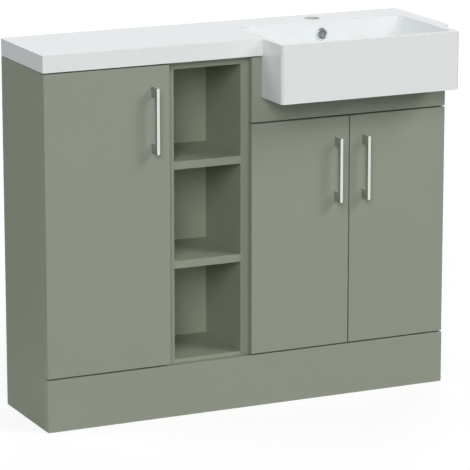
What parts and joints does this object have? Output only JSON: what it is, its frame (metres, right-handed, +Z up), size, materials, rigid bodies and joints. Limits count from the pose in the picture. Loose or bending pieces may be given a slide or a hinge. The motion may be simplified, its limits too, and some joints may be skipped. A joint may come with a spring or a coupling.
{
  "type": "basin and storage combination unit",
  "caption": "Floor-standing vanity combination: cupboard, open shelves and basin cupboard under one cast top with a box-shaped basin that stands out in front.",
  "frame": {"origin": "on the floor, under the middle of the whole object's bounding box", "axes": "+X to the right along the front, +Y towards the wall, +Z up"},
  "size_m": [1.005, 0.36, 0.8565],
  "materials": {
    "sage_front": "satin sage-green lacquer on fibreboard",
    "sage_board": "matt sage-green laminate on chipboard",
    "sage_back": "matt sage-green thin panel",
    "cast_white": "gloss white gelcoat over cast mineral marble",
    "chrome": "polished",
    "nickel": "nickel-plated",
    "zinc_screw": "zinc-plated",
    "clear_pad": "soft, slightly cloudy",
    "silicone": "white sanitary silicone",
    "raw_block": "planed softwood"
  },
  "bodies": {
    "cabinet": {"plinth": "sage_front", "plinth_blocks": "raw_block", "cupboard_side_left": "sage_board", "cupboard_side_right": "sage_board", "cupboard_bottom": "sage_board", "cupboard_back": "sage_back", "cupboard_rails": "sage_board", "cupboard_shelves": "sage_board", "shelf_pins": "nickel", "open_side_left": "sage_board", "open_side_right": "sage_board", "open_top": "sage_board", "open_upper_shelf": "sage_board", "open_lower_shelf": "sage_board", "open_bottom": "sage_board", "open_back": "sage_back", "open_rail": "sage_board", "basin_side_left": "sage_board", "basin_side_right": "sage_board", "basin_bottom": "sage_board", "basin_front_rail": "sage_board", "basin_rear_rails": "sage_board", "fascia": "sage_front", "fascia_pads": "clear_pad", "top_seal": "silicone", "basin_top": "cast_white", "overflow_ring": "chrome", "hinge_plates": "nickel", "hinge_arms": "nickel", "plate_screws": "zinc_screw"},
    "tall_leaf": {"tall_door": "sage_front", "tall_handle": "chrome", "tall_handle_screws": "zinc_screw", "tall_cups": "nickel", "tall_cup_screws": "zinc_screw", "tall_bumpers": "clear_pad"},
    "tall_link_pair": {"tall_links": "nickel"},
    "left_leaf": {"left_door": "sage_front", "left_handle": "chrome", "left_handle_screws": "zinc_screw", "left_cups": "nickel", "left_cup_screws": "zinc_screw", "left_bumpers": "clear_pad"},
    "left_link_pair": {"left_links": "nickel"},
    "right_leaf": {"right_door": "sage_front", "right_handle": "chrome", "right_handle_screws": "zinc_screw", "right_cups": "nickel", "right_cup_screws": "zinc_screw", "right_bumpers": "clear_pad"},
    "right_link_pair": {"right_links": "nickel"}
  },
  "joints": [
    {"name": "tall_door_turn", "type": "hinge", "parent": "cabinet", "child": "tall_leaf", "pos_m": [-0.4935, -0.0695, 0.4695], "axis": [0, 0, -1], "range_deg": [0, 110]},
    {"name": "tall_links_turn", "type": "hinge", "parent": "cabinet", "child": "tall_link_pair", "pos_m": [-0.463, -0.051, 0.4695], "axis": [0, 0, 1], "range_deg": [0, 31]},
    {"name": "left_door_turn", "type": "hinge", "parent": "cabinet", "child": "left_leaf", "pos_m": [0.0085, -0.0695, 0.39325], "axis": [0, 0, -1], "range_deg": [0, 110]},
    {"name": "left_links_turn", "type": "hinge", "parent": "cabinet", "child": "left_link_pair", "pos_m": [0.039, -0.051, 0.39325], "axis": [0, 0, 1], "range_deg": [0, 31]},
    {"name": "right_door_turn", "type": "hinge", "parent": "cabinet", "child": "right_leaf", "pos_m": [0.4935, -0.0695, 0.39325], "axis": [0, 0, 1], "range_deg": [0, 110]},
    {"name": "right_links_turn", "type": "hinge", "parent": "cabinet", "child": "right_link_pair", "pos_m": [0.463, -0.051, 0.39325], "axis": [0, 0, -1], "range_deg": [0, 31]}
  ],
  "couplings": [
    {"joint": "tall_links_turn", "follows": "tall_door_turn", "ratio": 0.28},
    {"joint": "left_links_turn", "follows": "left_door_turn", "ratio": 0.28},
    {"joint": "right_links_turn", "follows": "right_door_turn", "ratio": 0.28}
  ]
}
